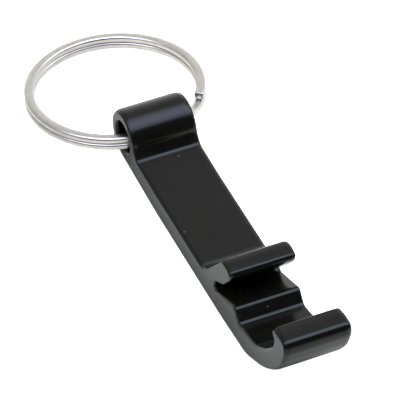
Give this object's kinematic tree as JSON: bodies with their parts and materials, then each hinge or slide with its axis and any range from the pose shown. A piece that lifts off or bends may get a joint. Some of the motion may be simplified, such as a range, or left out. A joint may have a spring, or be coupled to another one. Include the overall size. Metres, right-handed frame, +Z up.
{
  "type": "keychain bottle opener",
  "caption": "Small extruded bar bottle opener with a cap hook, a leaning fulcrum lip and a tube at one end that carries a split ring for keys.",
  "frame": {"origin": "middle of the level stretch of the bar's underside, halfway between the two cut faces", "axes": "+X along the bar from the key-ring tube towards the cap hook, +Y across the bar along the tube's bore, +Z up from the underside towards the lip and the hook's catch"},
  "size_m": [0.0846, 0.0285, 0.0148],
  "materials": {
    "anodised_bar": "black anodised, semi-gloss along the extruded faces, satin on the tumbled cut faces",
    "ring_wire": "bright nickel plate on spring steel wire"
  },
  "bodies": {
    "bar": {"opener_body": "anodised_bar"},
    "ring": {"split_ring": "ring_wire"}
  },
  "joints": [
    {"name": "ring_swing", "type": "hinge", "parent": "bar", "child": "ring", "pos_m": [-0.0245, 0, 0.0051], "axis": [0, 1, 0], "range_deg": [-154, 184]}
  ]
}
